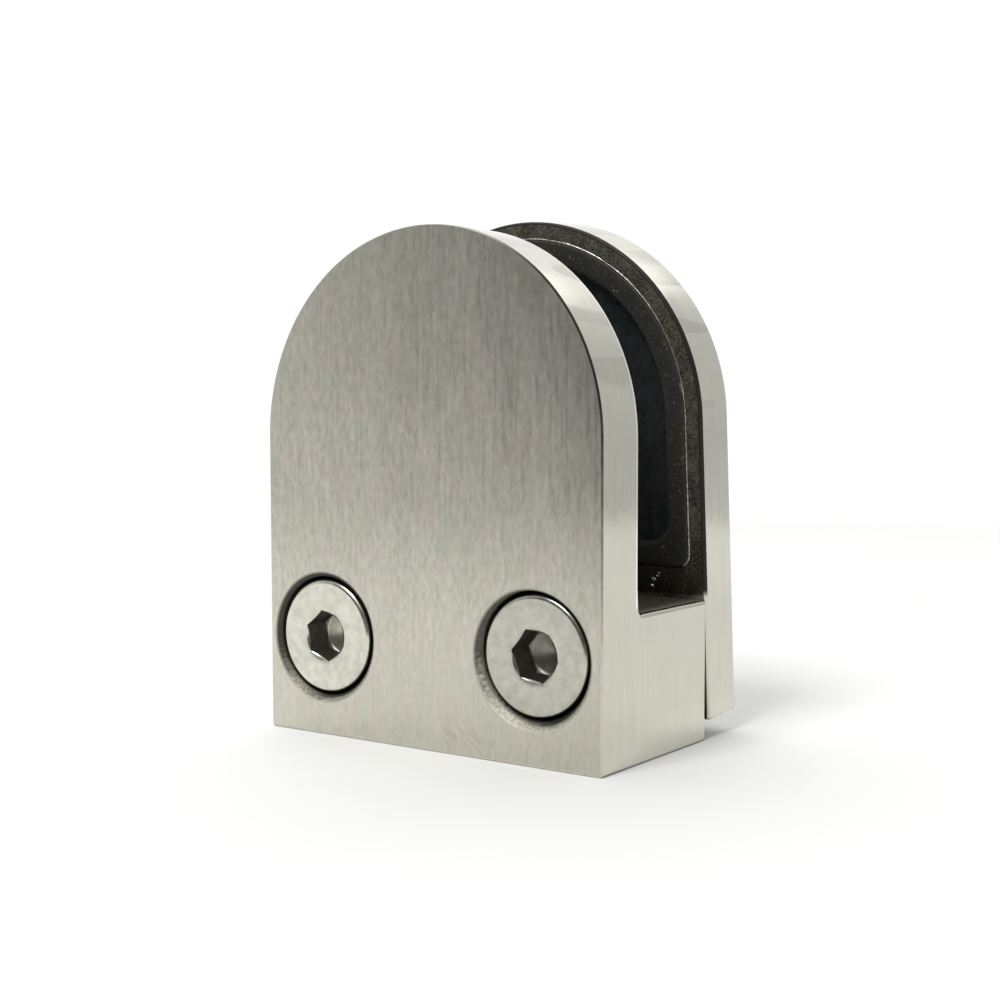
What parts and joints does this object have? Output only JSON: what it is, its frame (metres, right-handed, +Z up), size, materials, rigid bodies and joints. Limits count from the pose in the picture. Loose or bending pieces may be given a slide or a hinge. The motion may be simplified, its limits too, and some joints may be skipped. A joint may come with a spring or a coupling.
{
  "type": "glass panel clamp",
  "caption": "Arched flat-back clamp that grips the edge of a glass panel between rubber-lined jaws drawn together by socket screws.",
  "frame": {"origin": "middle of the flat face under the front jaw's base, on which the clamp stands", "axes": "+X to the right seen from the front, +Y from the front jaw to the back jaw, +Z up towards the arches, where the glass goes in"},
  "size_m": [0.04, 0.0257, 0.0521],
  "materials": {
    "satin_steel": "satin stainless steel, brushed upright on the flat faces",
    "screw_steel": "bright turned stainless steel",
    "pad_rubber": "smooth black rubber with a dull raised lip"
  },
  "bodies": {
    "front": {"front_jaw": "satin_steel", "front_pad": "pad_rubber"},
    "back": {"back_jaw": "satin_steel", "back_pad": "pad_rubber"},
    "left_screw": {"left_screw": "screw_steel"},
    "right_screw": {"right_screw": "screw_steel"}
  },
  "joints": [
    {"name": "back_jaw_travel", "type": "slide", "parent": "front", "child": "back", "axis": [0, 1, 0], "range_m": [0, 0.003]},
    {"name": "left_screw_turn", "type": "hinge", "parent": "front", "child": "left_screw", "pos_m": [-0.01286, -0.0093, 0.00992], "axis": [0, -1, 0], "range_deg": [0, 1080]},
    {"name": "right_screw_turn", "type": "hinge", "parent": "front", "child": "right_screw", "pos_m": [0.01257, -0.0093, 0.0102], "axis": [0, -1, 0], "range_deg": [0, 1080]}
  ],
  "couplings": [
    {"joint": "left_screw_turn", "follows": "back_jaw_travel", "rad_per_m": 6283.1},
    {"joint": "right_screw_turn", "follows": "back_jaw_travel", "rad_per_m": 6283.1}
  ]
}
